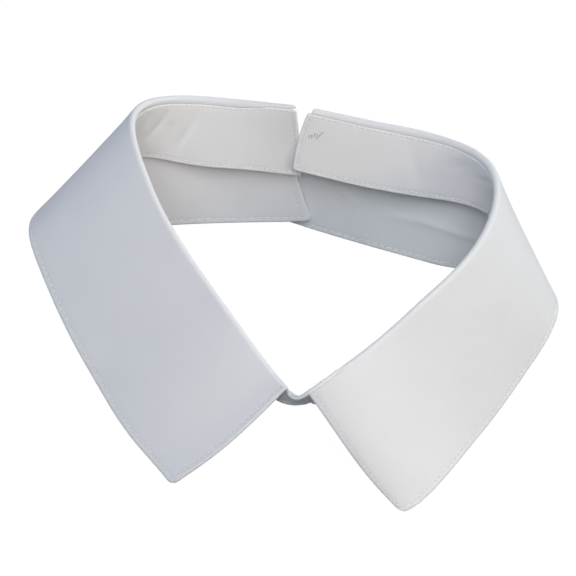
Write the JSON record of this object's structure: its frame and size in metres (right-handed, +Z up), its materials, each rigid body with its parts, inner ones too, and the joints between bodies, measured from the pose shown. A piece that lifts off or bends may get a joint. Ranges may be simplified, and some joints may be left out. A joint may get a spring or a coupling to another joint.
{
  "type": "detachable shirt collar",
  "caption": "White detachable shirt collar with a folded stand, pointed leaves and an open back, standing on its leaves.",
  "frame": {"origin": "middle of the collar in plan, on the table it stands on", "axes": "+X to the wearer's left, along the collar's greatest width; -Y to the front, where the leaves part; +Z up"},
  "size_m": [0.1763, 0.1437, 0.0635],
  "materials": {
    "stand": "plain woven cotton",
    "leaf_left": "plain woven cotton",
    "leaf_right": "plain woven cotton",
    "button": "polished"
  },
  "bodies": {
    "root": {"stand": "stand", "leaf_left": "leaf_left", "leaf_right": "leaf_right", "button": "button"}
  },
  "joints": []
}
